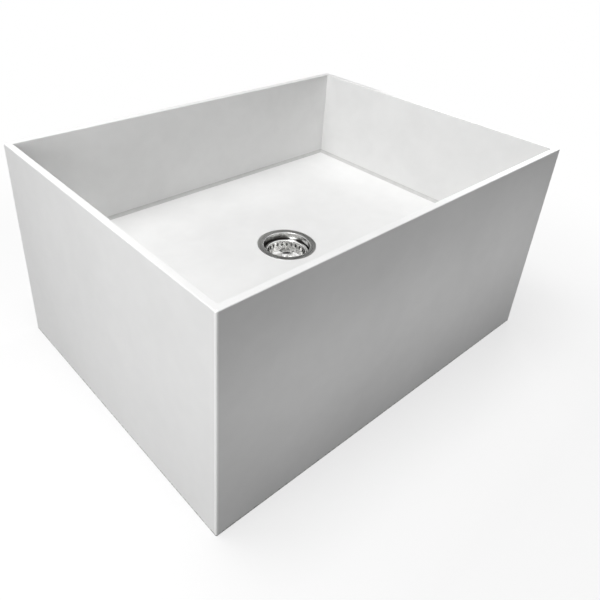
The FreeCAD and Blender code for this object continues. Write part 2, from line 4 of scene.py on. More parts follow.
import bpy
from bpy.props import FloatProperty, FloatVectorProperty, PointerProperty
from bpy.types import Operator, Panel, PropertyGroup
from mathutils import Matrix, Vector


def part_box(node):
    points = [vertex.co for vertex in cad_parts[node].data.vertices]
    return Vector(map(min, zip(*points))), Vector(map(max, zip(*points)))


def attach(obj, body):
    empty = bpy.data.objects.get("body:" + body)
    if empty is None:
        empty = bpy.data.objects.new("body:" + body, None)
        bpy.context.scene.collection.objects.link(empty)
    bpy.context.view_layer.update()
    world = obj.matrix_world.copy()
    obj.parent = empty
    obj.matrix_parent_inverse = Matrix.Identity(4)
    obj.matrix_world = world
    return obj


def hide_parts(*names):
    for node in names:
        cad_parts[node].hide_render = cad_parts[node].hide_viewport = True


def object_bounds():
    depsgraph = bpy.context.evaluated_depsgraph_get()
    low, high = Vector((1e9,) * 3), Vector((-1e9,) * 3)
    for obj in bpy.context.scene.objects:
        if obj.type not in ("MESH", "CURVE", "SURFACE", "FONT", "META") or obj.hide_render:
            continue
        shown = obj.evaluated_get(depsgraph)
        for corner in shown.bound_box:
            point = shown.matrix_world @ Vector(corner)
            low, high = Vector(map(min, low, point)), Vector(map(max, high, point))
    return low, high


bl_info = {
    "name": "Pet Wash Tub",
    "version": (1, 0, 0),
    "blender": (4, 5, 0),
    "location": "3D View > Sidebar > Wash Tub",
    "description": "Finishes, seals and studio for a white box tub with a basket strainer",
    "category": "Object",
}

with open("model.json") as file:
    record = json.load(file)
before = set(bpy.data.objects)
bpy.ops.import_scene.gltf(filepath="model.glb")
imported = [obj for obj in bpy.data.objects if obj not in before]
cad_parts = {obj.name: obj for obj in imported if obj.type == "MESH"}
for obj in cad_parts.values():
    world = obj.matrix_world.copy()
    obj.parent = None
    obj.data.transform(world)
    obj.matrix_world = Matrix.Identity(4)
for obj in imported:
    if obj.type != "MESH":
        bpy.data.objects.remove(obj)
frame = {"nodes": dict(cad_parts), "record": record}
CAD_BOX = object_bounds()
NODES = frame["nodes"]

# Which pieces share a finish
SHEETS = ("front_panel", "rear_panel", "left_panel", "right_panel", "basin_floor")
SUPPORTS = tuple(
    name for name in NODES
    if name.endswith(("_ledger", "_rib")) or name.startswith("corner_block")
)
MOULDINGS = ("waste_body", "outlet_reducer")
RUBBERS = ("flange_gasket", "floor_gasket", "reducer_seal", "stopper_seal")
BASKET = ("basket_dish", "basket_band", "basket_rim", "basket_knob")
FASTENERS = ("clamp_screw", "basket_stem", "seal_washer")

# The photograph's frame, which the lens and the shift are measured in
PICTURE_WIDTH = 600
SENSOR_WIDTH = 36.0

# The record gives a mount's radius in millimetres, and the frame is in metres
MILLIMETRES_PER_METRE = 1000

# Edges that turn by more than this are sharp, and corners nearer than this become one
SHARP_ANGLE = math.radians(40)
MERGE_DISTANCE = 0.00001

# The hollow of the silicone bead: its share of the bead's leg, its steps and how far it curves in
HOLLOW_SHARE = 0.92
HOLLOW_STEPS = 6
HOLLOW_PROFILE = 0.17

# Facets round the outlet, of which one in so many is raised as a grip rib
OUTLET_FACETS = 96
RIB_SPACING = 4

# A face is in a ring's outer wall if its normal is this level and it lies this near the wall's radius
WALL_SHARE = 0.99

# Steps to a turn of the thread, the share of the pitch that its root takes, the share of the root
# that its crest keeps, and how deep the root is sunk in the pipe as a share of the thread's depth
THREAD_STEPS = 64
ROOT_SHARE = 0.9
CREST_SHARE = 0.25
SUNK_SHARE = 0.2

# One lead of plain pipe lies below the thread, one above it, and the collar over that is a third
PLAIN_LEADS = 3

WHITE = (1.0, 1.0, 1.0, 1.0)


def colour(label, words, value):
    """A colour that a user may change."""
    return FloatVectorProperty(name=label, description=words, subtype="COLOR",
                               size=3, min=0, max=1, default=value)


def length(label, words, value):
    """A size in metres that a user may change."""
    return FloatProperty(name=label, description=words, unit="LENGTH", precision=4, min=0, default=value)


def pixels(label, words, value):
    """A distance in the photograph that a user may change."""
    return FloatProperty(name=label, description=words, subtype="PIXEL", default=value)


def watts(label, words, value):
    """A lamp's power that a user may change."""
    return FloatProperty(name=label, description=words, unit="POWER", min=0, default=value)


def fraction(label, words, value):
    """A share from nought to one that a user may change."""
    return FloatProperty(name=label, description=words, subtype="FACTOR", min=0, max=1, default=value)


class TubColours(PropertyGroup):
    """Colours of the tub's materials."""

    sheet: colour("Cast sheet", "White acrylic sheet of the walls and floor", (0.9, 0.9, 0.895))
    # Painted contact shadow along the foot of the outer walls, partly grime
    grime: colour("Grime", "Dirt along the foot of the outer walls", (0.16, 0.155, 0.15))
    sawn: colour("Sawn sheet", "Unpolished sheet of the supports", (0.8, 0.8, 0.78))
    sawdust: colour("Sawdust", "Dust that lies on the supports", (0.62, 0.6, 0.56))
    silicone: colour("Silicone", "Bead along the foot of the basin's walls", (0.62, 0.62, 0.61))
    pressed: colour("Pressed steel", "Flange of the strainer bowl", (0.55, 0.55, 0.54))
    polished: colour("Polished steel", "Inside of the bowl, basket and knob", (0.88, 0.88, 0.87))
    # Painted shade and dark reflections in the bowl round its ledge
    stain: colour("Bowl stain", "Residue in the bowl round its ledge", (0.07, 0.068, 0.064))
    fastener: colour("Fastener steel", "Screw, stem and washer", (0.56, 0.56, 0.55))
    brass: colour("Brass", "Nut of the clamp screw", (0.72, 0.53, 0.24))
    plastic: colour("Grey plastic", "Mouldings under the strainer", (0.5, 0.51, 0.52))
    film: colour("Dust film", "Dust that lies on the mouldings", (0.62, 0.61, 0.58))
    rubber: colour("Black rubber", "Gaskets and stopper", (0.04, 0.04, 0.042))


class TubSizes(PropertyGroup):
    """Sizes of what is added to the frame, and of the finishes' patterns."""

    bead_leg: length("Bead leg", "How far the silicone bead runs up the wall and out on the floor", 0.006)
    bead_sink: length("Bead sink", "How deep the bead's foot lies in the floor's surface", 0.0001)
    # Painted highlight: how far from an upright edge the sheet is painted brighter
    edge_polish: length("Edge polish", "How far from an upright edge the sheet is rubbed bright", 0.0048)
    # How far up the outer walls the painted contact shadow and grime thin out
    grime_reach: length("Grime reach", "How far up the outer walls the dirt thins out", 0.0035)
    polished_radius: length("Polished radius", "Inside it the strainer's bowl is polished", 0.0465)
    brushed_radius: length("Brushed radius", "Outside it the strainer's flange is brushed", 0.048)
    # How far the painted shade and dark reflections in the bowl reach up from the ledge and down below it
    stain_reach: length("Stain reach", "How far up the bowl's wall the residue thins out", 0.009)
    stain_full: length("Stain full", "How far below the ledge the residue starts to thin", 0.001)
    stain_depth: length("Stain depth", "How far below the ledge the residue is thin", 0.006)
    screw_pitch: length("Screw pitch", "Thread pitch of the screw and stem", 0.00125)
    outlet_wall: length("Outlet wall", "Wall of the outlet's skirt", 0.003)
    outlet_bore: length("Outlet bore", "Inner diameter of the outlet's pipe", 0.04)
    outlet_pipe: length("Outlet pipe", "Length of the outlet's pipe", 0.026)
    thread_pitch: length("Thread pitch", "Pitch of the outlet's thread", 0.00231)
    thread_depth: length("Thread depth", "Depth of the outlet's thread", 0.00148)
    thread_lead: length("Thread lead", "Plain pipe before the thread starts", 0.0025)
    grip_depth: length("Grip depth", "How far the grip ribs stand out of the outlet's skirt", 0.0008)
    moulded_edge: length("Moulded edge", "How far the outlet's edges are rounded", 0.0003)


class TubStudio(PropertyGroup):
    """Camera, lamps, floor and room."""

    camera_place: FloatVectorProperty(
        name="Camera place", description="Where the camera stands",
        subtype="TRANSLATION", unit="LENGTH", default=(-0.7232, -0.7262, 0.8116),
    )
    camera_turn: FloatVectorProperty(
        name="Camera turn", description="How the camera is turned", subtype="EULER",
        default=(math.radians(59.27), math.radians(-2.56), math.radians(-41.51)),
    )
    focal_pixels: pixels("Focal length", "Focal length in pixels of the photograph", 611.9)
    centre_left: pixels("Centre left", "Pixels from the left edge to the optical axis", 270)
    centre_top: pixels("Centre top", "Pixels from the top edge to the optical axis", 240)
    key_power: watts("Overhead lamp", "Power of the large lamp overhead", 31)
    highlight_power: watts("Highlight lamp", "Power of the lamp that the steel mirrors", 12)
    left_power: watts("Left lamp", "Power of the lamp on the left", 10)
    strip_power: watts("Strip lamp", "Power of the weak strip in front", 0.4)
    right_power: watts("Right lamp", "Power of the lamp on the right", 12)
    ambient: fraction("Ambient light", "How strongly the room fills the shadows", 0.07)
    room_tint: colour("Room tint", "Tint of the light from the room", (0.97, 0.98, 1.0))
    card_tone: colour("Dark card", "Card that the steel mirrors", (0.08, 0.08, 0.08))
    floor_tone: colour("Floor", "Floor as it is seen", (0.93, 0.93, 0.93))
    floor_bounce: colour("Floor bounce", "Floor as it throws light back", (0.15, 0.15, 0.15))
    floor_glow: fraction("Floor glow", "How white the floor is under the tub", 0.68)
    floor_size: length("Floor size", "Side of the floor", 14)
    fade_near: length("Fade near", "Distance at which the floor starts to turn white", 0.5)
    fade_far: length("Fade far", "Distance at which the floor is white", 1.2)


def shade(tone, share=1.0):
    """A colour brought to a share of its brightness, with full alpha."""
    return (*(part * share for part in tone), 1.0)


class Graph:
    """A node tree, with short calls for the nodes that the finishes use."""

    # Where a Mix node keeps its factor and its two colours, and where it puts out the mixed colour
    MIX_INPUTS = (0, 6, 7)
    MIX_OUTPUT = 2

    def __init__(self, tree):
        self.tree = tree

    def feed(self, socket, value):
        """Links a socket to another one, or sets it to a constant."""
        if isinstance(value, bpy.types.NodeSocket):
            self.tree.links.new(value, socket)
        else:
            socket.default_value = value

    def add(self, kind, settings=None, **inputs):
        """A node with its settings, and its inputs by name, an underscore standing for a space."""
        node = self.tree.nodes.new(kind)
        for name, value in (settings or {}).items():
            setattr(node, name, value)
        for name, value in inputs.items():
            self.feed(node.inputs[name.replace("_", " ")], value)
        return node

    def math(self, operation, *values):
        """An operation on one, two or three values."""
        node = self.add("ShaderNodeMath", {"operation": operation})
        for socket, value in zip(node.inputs, values):
            self.feed(socket, value)
        return node.outputs[0]

    def raised(self, base, mask, amount):
        """A value that a mask raises by up to an amount."""
        return self.math("MULTIPLY_ADD", mask, amount, base)

    def coordinates(self):
        """A point's place in metres, in the tub's frame."""
        return self.add("ShaderNodeTexCoord").outputs["Object"]

    def split(self, vector):
        """The three parts of a vector."""
        return self.add("ShaderNodeSeparateXYZ", Vector=vector).outputs

    def join(self, x, y, z):
        """A vector from its three parts."""
        return self.add("ShaderNodeCombineXYZ", X=x, Y=y, Z=z).outputs["Vector"]

    def radius(self):
        """A point's distance from the upright axis through the drain."""
        x, y, _ = self.split(self.coordinates())
        squares = self.math("ADD", self.math("MULTIPLY", x, x), self.math("MULTIPLY", y, y))
        return self.math("SQRT", squares)

    def height(self):
        """A point's height above the ground."""
        return self.split(self.coordinates())["Z"]

    def turning(self):
        """The way round the upright axis, which brushing follows."""
        return self.add("ShaderNodeTangent", {"axis": "Z"}).outputs["Tangent"]

    def noise(self, vector, scale, detail=2.0, roughness=0.5):
        """Soft noise between nought and one."""
        node = self.add("ShaderNodeTexNoise", Vector=vector, Scale=scale, Detail=detail, Roughness=roughness)
        return node.outputs["Fac"]

    def spread(self, value, low=0.0, high=1.0, start=0.0, end=1.0):
        """Maps the range from low to high softly on the range from start to end."""
        node = self.add("ShaderNodeMapRange", {"interpolation_type": "SMOOTHSTEP"}, Value=value,
                        From_Min=low, From_Max=high, To_Min=start, To_Max=end)
        return node.outputs["Result"]

    def mix(self, mask, first, second):
        """A colour between two others."""
        node = self.add("ShaderNodeMix", {"data_type": "RGBA"})
        for index, value in zip(self.MIX_INPUTS, (mask, first, second)):
            self.feed(node.inputs[index], value)
        return node.outputs[self.MIX_OUTPUT]

    def tone(self, mask, tint, dark, light):
        """A colour that a mask takes from one share of its brightness to another."""
        return self.mix(mask, shade(tint, dark), shade(tint, light))

    def cover(self, under, over, mask, strength):
        """A colour that a mask lays over another one, up to a strength."""
        return self.mix(self.math("MULTIPLY", mask, strength), under, over)

    def bump(self, height, strength, distance):
        """A normal that leans with a height."""
        node = self.add("ShaderNodeBump", Height=height, Strength=strength, Distance=distance)
        return node.outputs["Normal"]

    def blend(self, mask, first, second):
        """A shader between two others."""
        node = self.add("ShaderNodeMixShader")
        for socket, value in zip(node.inputs, (mask, first, second)):
            self.feed(socket, value)
        return node.outputs["Shader"]

    def effect(self, build, **inputs):
        """Places a shared effect, which is built once, and returns what it puts out."""
        tree = bpy.data.node_groups.get(build.__name__) or build()
        return self.add("ShaderNodeGroup", {"node_tree": tree}, **inputs).outputs[0]


def new_effect(name, output, **inputs):
    """An empty effect with number inputs and one number output: its graph, its inputs and its end."""
    tree = bpy.data.node_groups.new(name, "ShaderNodeTree")
    for label, value in inputs.items():
        socket = tree.interface.new_socket(label, in_out="INPUT", socket_type="NodeSocketFloat")
        socket.default_value = value
    tree.interface.new_socket(output, in_out="OUTPUT", socket_type="NodeSocketFloat")
    graph = Graph(tree)
    return graph, graph.add("NodeGroupInput").outputs, graph.add("NodeGroupOutput").inputs[0]


def cloud_tone():
    """Soft patches, as a cast or moulded surface has them."""
    graph, given, end = new_effect("cloud_tone", "Tone", Scale=4.0)
    patches = graph.noise(graph.coordinates(), given["Scale"], roughness=0.4)
    graph.feed(end, graph.spread(patches, low=0.25, high=0.75))
    return graph.tree


def fine_grain():
    """Grain as fine as sand."""
    graph, given, end = new_effect("fine_grain", "Grain", Scale=1000.0)
    grains = graph.noise(graph.coordinates(), given["Scale"])
    graph.feed(end, graph.spread(grains, low=0.34, high=0.66))
    return graph.tree


def hair_lines():
    """Fine scratches from sanding and wiping, crossed at two slants."""
    graph, given, end = new_effect("hair_lines", "Lines", Scale=90.0, Stretch=14.0)
    layers = []
    for slant in (0.6, -0.9):
        turned = graph.add("ShaderNodeMapping", Vector=graph.coordinates(), Rotation=(slant, slant, slant))
        x, y, z = graph.split(turned.outputs["Vector"])
        across = graph.math("MULTIPLY", y, given["Stretch"])
        along = graph.join(x, across, graph.math("MULTIPLY", z, given["Stretch"]))
        layers.append(graph.noise(along, given["Scale"], detail=1.0))
    graph.feed(end, graph.spread(graph.math("MAXIMUM", *layers), low=0.56, high=0.78))
    return graph.tree


def lathe_lines():
    """Rings round the drain's axis, as turning and polishing leave them."""
    graph, given, end = new_effect("lathe_lines", "Lines", Density=2500.0)
    x, y, z = graph.split(graph.coordinates())
    ring = graph.math("MULTIPLY", graph.radius(), given["Density"])
    height = graph.math("MULTIPLY", z, given["Density"])
    place = graph.join(ring, height, graph.math("ARCTAN2", y, x))
    graph.feed(end, graph.spread(graph.noise(place, scale=1.0, detail=3.0), low=0.3, high=0.7))
    return graph.tree


def settled_dust():
    """A film that lies thicker on what faces up."""
    graph, given, end = new_effect("settled_dust", "Film", Scale=60.0)
    facing_up = graph.split(graph.add("ShaderNodeNewGeometry").outputs["Normal"])["Z"]
    lying = graph.spread(facing_up, low=0.2, high=0.95, start=0.15)
    patches = graph.noise(graph.coordinates(), given["Scale"], detail=4.0, roughness=0.6)
    graph.feed(end, graph.math("MULTIPLY", lying, graph.spread(patches, low=0.35, high=0.75)))
    return graph.tree


def thread_ridges():
    """The height of a thread wound round the drain's axis, one ridge to a pitch."""
    graph, given, end = new_effect("thread_ridges", "Ridge", Pitch=0.00125)
    x, y, z = graph.split(graph.coordinates())
    turn = graph.math("DIVIDE", graph.math("ARCTAN2", y, x), math.tau)
    climb = graph.math("ADD", graph.math("DIVIDE", z, given["Pitch"]), turn)
    graph.feed(end, graph.math("PINGPONG", climb, 0.5))
    return graph.tree


def new_finish(name, **constants):
    """A material with its shader's plain values set: the material, its graph and the shader's inputs."""
    material = bpy.data.materials.new(name)
    material.use_nodes = True
    inputs = material.node_tree.nodes["Principled BSDF"].inputs
    for label, value in constants.items():
        inputs[label.replace("_", " ")].default_value = value
    return material, Graph(material.node_tree), inputs


def rubbed_edges(graph, reach):
    """One along the tub's four upright edges, nought from a reach away: the mask of a painted highlight."""
    x, y, _ = graph.split(graph.coordinates())
    gaps = [graph.math("SUBTRACT", half, graph.math("ABSOLUTE", place))
            for half, place in ((CAD_BOX[1].x, x), (CAD_BOX[1].y, y))]
    return graph.spread(graph.math("MAXIMUM", *gaps), low=reach * 0.7, high=reach, start=1.0, end=0.0)


def grimy_foot(graph, reach):
    """Painted contact shadow along the foot of the walls, partly grime, whose ragged edge thins out about a
    reach up.
    """
    specks = graph.effect(cloud_tone, Scale=230.0)
    ragged = graph.raised(graph.height(), specks, reach)
    return graph.spread(ragged, low=reach * 0.4, high=reach * 1.6, start=0.75, end=0.0)


def satin_sheet(colours, sizes):
    """White cast acrylic, sanded to a satin: clouds, grain, wiping marks, a painted highlight along the
    upright edges, and a painted contact shadow, partly grime, along the foot.
    """
    material, graph, shader = new_finish("Satin cast sheet", IOR=1.49, Specular_IOR_Level=0.35)
    clouds = graph.effect(cloud_tone, Scale=6.0)
    patches = graph.effect(cloud_tone, Scale=17.0)
    flecks = graph.effect(cloud_tone, Scale=48.0)
    grain = graph.effect(fine_grain, Scale=420.0)
    lines = graph.effect(hair_lines, Scale=70.0, Stretch=16.0)
    broad = graph.raised(graph.math("MULTIPLY", clouds, 0.5), patches, amount=0.3)
    mottle = graph.raised(broad, flecks, amount=0.2)
    clouded = graph.tone(mottle, colours.sheet, dark=0.915, light=1.0)
    grained = graph.cover(clouded, shade(colours.sheet, share=0.94), grain, strength=0.25)
    # Painted highlight: the upright edges are painted brighter than the sheet itself
    edge_highlighted = graph.mix(rubbed_edges(graph, sizes.edge_polish), grained, shade(colours.sheet, share=1.1))
    # Painted contact shadow, partly grime, darkens the foot of the outer walls
    foot_shaded = graph.mix(grimy_foot(graph, sizes.grime_reach), edge_highlighted, shade(colours.grime))
    graph.feed(shader["Base Color"], foot_shaded)
    satin = graph.spread(patches, start=0.3, end=0.38)
    graph.feed(shader["Roughness"], graph.raised(satin, lines, amount=0.05))
    relief = graph.raised(grain, lines, amount=-0.5)
    graph.feed(shader["Normal"], graph.bump(relief, strength=0.03, distance=0.0001))
    return material


def sawn_sheet(colours):
    """The same sheet as the saw left it, with kerf marks and dust."""
    material, graph, shader = new_finish("Sawn cast sheet", IOR=1.49)
    clouds = graph.effect(cloud_tone, Scale=14.0)
    dust = graph.effect(settled_dust, Scale=45.0)
    x, y, z = graph.split(graph.coordinates())
    run = graph.join(graph.math("ADD", x, y), z, 0.0)
    kerf = graph.add("ShaderNodeTexWave", Vector=run, Scale=95.0, Distortion=2.5,
                     Detail=3.0, Detail_Scale=0.6)
    marks = kerf.outputs["Fac"]
    worn = graph.tone(clouds, colours.sawn, dark=0.9, light=1.02)
    dusty = graph.cover(worn, shade(colours.sawdust), dust, strength=0.5)
    marked = graph.cover(dusty, shade(colours.sawn, share=0.82), marks, strength=0.3)
    graph.feed(shader["Base Color"], marked)
    graph.feed(shader["Roughness"], graph.spread(marks, start=0.62, end=0.82))
    graph.feed(shader["Normal"], graph.bump(marks, strength=0.25, distance=0.0002))
    return material


def sanitary_silicone(colours):
    """Silicone smoothed by hand, a little wavy along its run."""
    material, graph, shader = new_finish("Sanitary silicone", IOR=1.41)
    waves = graph.effect(cloud_tone, Scale=60.0)
    grain = graph.effect(fine_grain, Scale=800.0)
    graph.feed(shader["Base Color"], graph.tone(waves, colours.silicone, dark=0.93, light=1.0))
    graph.feed(shader["Roughness"], graph.spread(grain, start=0.3, end=0.42))
    graph.feed(shader["Normal"], graph.bump(waves, strength=0.2, distance=0.0004))
    return material


def bowl_residue(graph, spots, sizes):
    """Painted shade and dark reflections that stand thickest at the basket's ledge and run unevenly up the
    bowl's wall.
    """
    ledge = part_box("basket_rim")[0].z
    height = graph.height()
    runs = graph.noise(graph.coordinates(), scale=22.0, detail=1.0)
    uneven = graph.spread(runs, low=0.35, high=0.65, start=0.3, end=2.1)
    reach = graph.math("MULTIPLY", uneven, sizes.stain_reach)
    climb = graph.math("DIVIDE", graph.math("SUBTRACT", height, ledge), reach)
    shade_band = graph.spread(graph.raised(climb, spots, amount=0.2), low=0.5, high=1.2, start=1.0, end=0.0)
    sunk = graph.spread(height, low=ledge - sizes.stain_depth, high=ledge - sizes.stain_full, start=0.3)
    return graph.math("MULTIPLY", shade_band, sunk)


def pressed_steel(colours, sizes):
    """Stainless sheet: ring-brushed on the flange, polished down in the bowl, with painted shade and dark
    reflections in the bowl.
    """
    material, graph, shader = new_finish("Pressed stainless", Metallic=1.0, Anisotropic=0.5)
    flange = graph.spread(graph.radius(), low=sizes.polished_radius, high=sizes.brushed_radius)
    rings = graph.effect(lathe_lines, Density=2600.0)
    spots = graph.effect(cloud_tone, Scale=120.0)
    toned = graph.tone(rings, colours.pressed, dark=0.8, light=1.06)
    polished = graph.tone(spots, colours.polished, dark=0.8, light=0.88)
    # Painted shade and dark reflections darken the bowl round its ledge and down into it
    bowl = graph.mix(bowl_residue(graph, spots, sizes), polished, shade(colours.stain))
    graph.feed(shader["Base Color"], graph.mix(flange, bowl, toned))
    brushed = graph.spread(rings, start=0.24, end=0.4)
    mirror = graph.spread(spots, start=0.1, end=0.17)
    graph.feed(shader["Roughness"], graph.raised(mirror, flange, graph.math("SUBTRACT", brushed, mirror)))
    relief = graph.math("MULTIPLY", rings, flange)
    graph.feed(shader["Normal"], graph.bump(relief, strength=0.12, distance=0.0001))
    graph.feed(shader["Tangent"], graph.turning())
    return material


def polished_steel(colours):
    """Bright stainless with faint turning rings and dried drops."""
    material, graph, shader = new_finish("Polished stainless", Metallic=1.0, Anisotropic=0.35)
    rings = graph.effect(lathe_lines, Density=1500.0)
    drops = graph.effect(cloud_tone, Scale=160.0)
    graph.feed(shader["Base Color"], graph.tone(drops, colours.polished, dark=0.93, light=1.03))
    bright = graph.spread(drops, start=0.08, end=0.15)
    graph.feed(shader["Roughness"], graph.raised(bright, rings, amount=0.05))
    graph.feed(shader["Normal"], graph.bump(rings, strength=0.04, distance=0.0001))
    graph.feed(shader["Tangent"], graph.turning())
    return material


def fastener_steel(colours, sizes):
    """Plain steel with rolled threads and a dull patch here and there."""
    material, graph, shader = new_finish("Fastener steel", Metallic=1.0)
    dull = graph.effect(cloud_tone, Scale=220.0)
    rings = graph.effect(lathe_lines, Density=1800.0)
    ridges = graph.effect(thread_ridges, Pitch=sizes.screw_pitch)
    graph.feed(shader["Base Color"], graph.tone(dull, colours.fastener, dark=0.82, light=1.05))
    graph.feed(shader["Roughness"], graph.spread(rings, start=0.26, end=0.4))
    graph.feed(shader["Normal"], graph.bump(ridges, strength=0.35, distance=sizes.screw_pitch / 2))
    return material


def turned_brass(colours):
    """Brass bar, turned and a little tarnished."""
    material, graph, shader = new_finish("Turned brass", Metallic=1.0)
    tarnish = graph.effect(cloud_tone, Scale=180.0)
    rings = graph.effect(lathe_lines, Density=2000.0)
    graph.feed(shader["Base Color"], graph.tone(tarnish, colours.brass, dark=0.72, light=1.05))
    graph.feed(shader["Roughness"], graph.spread(rings, start=0.24, end=0.4))
    graph.feed(shader["Normal"], graph.bump(rings, strength=0.1, distance=0.0001))
    return material


def moulded_plastic(colours):
    """Grey moulded plastic: spark-eroded grain, flow clouds and a film of dust."""
    material, graph, shader = new_finish("Moulded grey plastic", IOR=1.5)
    flow = graph.effect(cloud_tone, Scale=28.0)
    grain = graph.effect(fine_grain, Scale=2200.0)
    dust = graph.effect(settled_dust, Scale=80.0)
    toned = graph.tone(flow, colours.plastic, dark=0.92, light=1.04)
    graph.feed(shader["Base Color"], graph.cover(toned, shade(colours.film), dust, strength=0.35))
    graph.feed(shader["Roughness"], graph.spread(grain, start=0.42, end=0.58))
    graph.feed(shader["Normal"], graph.bump(grain, strength=0.15, distance=0.0001))
    return material


def moulded_rubber(colours):
    """Black rubber with a grey bloom and a fine skin."""
    material, graph, shader = new_finish("Moulded black rubber", IOR=1.52)
    bloom = graph.effect(cloud_tone, Scale=70.0)
    grain = graph.effect(fine_grain, Scale=1800.0)
    graph.feed(shader["Base Color"], graph.tone(bloom, colours.rubber, dark=0.8, light=1.7))
    graph.feed(shader["Roughness"], graph.spread(grain, start=0.52, end=0.72))
    graph.feed(shader["Normal"], graph.bump(grain, strength=0.12, distance=0.0001))
    return material


def dress(names, material):
    """Gives pieces of the frame a finish."""
    for name in names:
        slots = NODES[name].data.materials
        slots.clear()
        slots.append(material)


def start_piece():
    """Leaves nothing selected, so that the next primitive is worked on alone."""
    bpy.ops.object.select_all(action="DESELECT")


def apply_place():
    """Puts the active piece's place, turn and scale in its mesh."""
    bpy.ops.object.transform_apply(location=True, rotation=True, scale=True)


def turn_faces_out():
    """Selects the whole mesh in edit mode and points its faces outwards."""
    bpy.ops.mesh.select_all(action="SELECT")
    bpy.ops.mesh.normals_make_consistent(inside=False)


def select_edges(piece, wanted):
    """Selects in edit mode just those edges whose two ends pass a test."""
    bpy.ops.mesh.select_mode(type="EDGE")
    bpy.ops.mesh.select_all(action="DESELECT")
    bpy.ops.object.mode_set(mode="OBJECT")
    corners = piece.data.vertices
    for edge in piece.data.edges:
        edge.select = all(wanted(corners[index].co) for index in edge.vertices)
    bpy.ops.object.mode_set(mode="EDIT")


def apply_modifier(piece, kind, **settings):
    """Adds a modifier to the active piece and applies it."""
    modifier = piece.modifiers.new(kind.title(), kind)
    for name, value in settings.items():
        setattr(modifier, name, value)
    bpy.ops.object.modifier_apply(modifier=modifier.name)


def finish_piece(context, name, material, body):
    """Names the active piece, puts its place in its mesh and lets it ride on a body."""
    piece = context.active_object
    piece.name = name
    piece.data.name = name
    apply_place()
    bpy.ops.object.shade_smooth_by_angle(angle=SHARP_ANGLE)
    piece.data.materials.append(material)
    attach(piece, body)


class WASHTUB_OT_cast_sheet(Operator):
    """Gives the walls and the basin floor their satin white finish"""

    bl_idname = "washtub.cast_sheet"
    bl_label = "Walls and floor"

    def execute(self, context):
        dress(SHEETS, satin_sheet(context.scene.tub_colours, context.scene.tub_sizes))
        return {"FINISHED"}


class WASHTUB_OT_supports(Operator):
    """Gives the ledgers, ribs and corner blocks their sawn finish"""

    bl_idname = "washtub.supports"
    bl_label = "Ledgers, ribs and blocks"

    def execute(self, context):
        dress(SUPPORTS, sawn_sheet(context.scene.tub_colours))
        return {"FINISHED"}


class WASHTUB_OT_strainer(Operator):
    """Gives the strainer bowl, its basket and its knob their steel finishes"""

    bl_idname = "washtub.strainer"
    bl_label = "Strainer"

    def execute(self, context):
        scene = context.scene
        dress(("strainer_bowl",), pressed_steel(scene.tub_colours, scene.tub_sizes))
        dress(BASKET, polished_steel(scene.tub_colours))
        return {"FINISHED"}


class WASHTUB_OT_fasteners(Operator):
    """Gives the clamp screw, the stem, the washer and the nut their finishes"""

    bl_idname = "washtub.fasteners"
    bl_label = "Fasteners"

    def execute(self, context):
        scene = context.scene
        dress(FASTENERS, fastener_steel(scene.tub_colours, scene.tub_sizes))
        dress(("clamp_nut",), turned_brass(scene.tub_colours))
        return {"FINISHED"}


class WASHTUB_OT_waste(Operator):
    """Gives the waste body, the outlet and the rubber seals their finishes"""

    bl_idname = "washtub.waste"
    bl_label = "Waste and seals"

    def execute(self, context):
        dress(MOULDINGS, moulded_plastic(context.scene.tub_colours))
        dress(RUBBERS, moulded_rubber(context.scene.tub_colours))
        return {"FINISHED"}


class WASHTUB_OT_silicone_bead(Operator):
    """Runs a hollow silicone bead along the foot of the basin's four walls"""

    bl_idname = "washtub.silicone_bead"
    bl_label = "Silicone bead"

    def execute(self, context):
        sizes = context.scene.tub_sizes
        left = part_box("left_panel")[1].x
        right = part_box("right_panel")[0].x
        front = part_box("front_panel")[1].y
        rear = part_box("rear_panel")[0].y
        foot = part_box("basin_floor")[1].z - sizes.bead_sink
        top = foot + sizes.bead_sink + sizes.bead_leg
        start_piece()
        bpy.ops.mesh.primitive_plane_add(size=1, location=((left + right) / 2, (front + rear) / 2, foot))
        bpy.ops.transform.resize(value=(right - left, rear - front, 1))
        apply_place()
        piece = context.active_object
        bpy.ops.object.mode_set(mode="EDIT")
        bpy.ops.mesh.inset(thickness=sizes.bead_leg)
        bpy.ops.mesh.delete(type="FACE")
        bpy.ops.mesh.select_all(action="SELECT")
        bpy.ops.mesh.extrude_region_move(TRANSFORM_OT_translate={"value": (0, 0, top - foot)})

        def on_inner_top(corner):
            inside = min(corner.x - left, right - corner.x, corner.y - front, rear - corner.y)
            return corner.z > (foot + top) / 2 and inside > sizes.bead_leg / 2

        select_edges(piece, on_inner_top)
        bpy.ops.mesh.bevel(offset=sizes.bead_leg * HOLLOW_SHARE, segments=HOLLOW_STEPS,
                           profile=HOLLOW_PROFILE, affect="EDGES")
        turn_faces_out()
        bpy.ops.object.mode_set(mode="OBJECT")
        silicone = sanitary_silicone(context.scene.tub_colours)
        finish_piece(context, "silicone_bead", silicone, "tub")
        return {"FINISHED"}


def turn_ring(outline, facets):
    """A closed ring round the drain's axis, extruded from each corner of its outline to the next."""
    radius, height = outline[0]
    start_piece()
    bpy.ops.mesh.primitive_circle_add(vertices=facets, radius=radius, location=(0, 0, height))
    apply_place()
    bpy.ops.object.mode_set(mode="EDIT")
    for next_radius, next_height in (*outline[1:], outline[0]):
        growth = next_radius / radius
        bpy.ops.mesh.extrude_region_move(TRANSFORM_OT_translate={"value": (0, 0, next_height - height)})
        bpy.ops.transform.resize(value=(growth, growth, 1), center_override=(0, 0, 0))
        radius, height = next_radius, next_height
    bpy.ops.mesh.select_all(action="SELECT")
    bpy.ops.mesh.remove_doubles(threshold=MERGE_DISTANCE)
    turn_faces_out()
    bpy.ops.object.mode_set(mode="OBJECT")


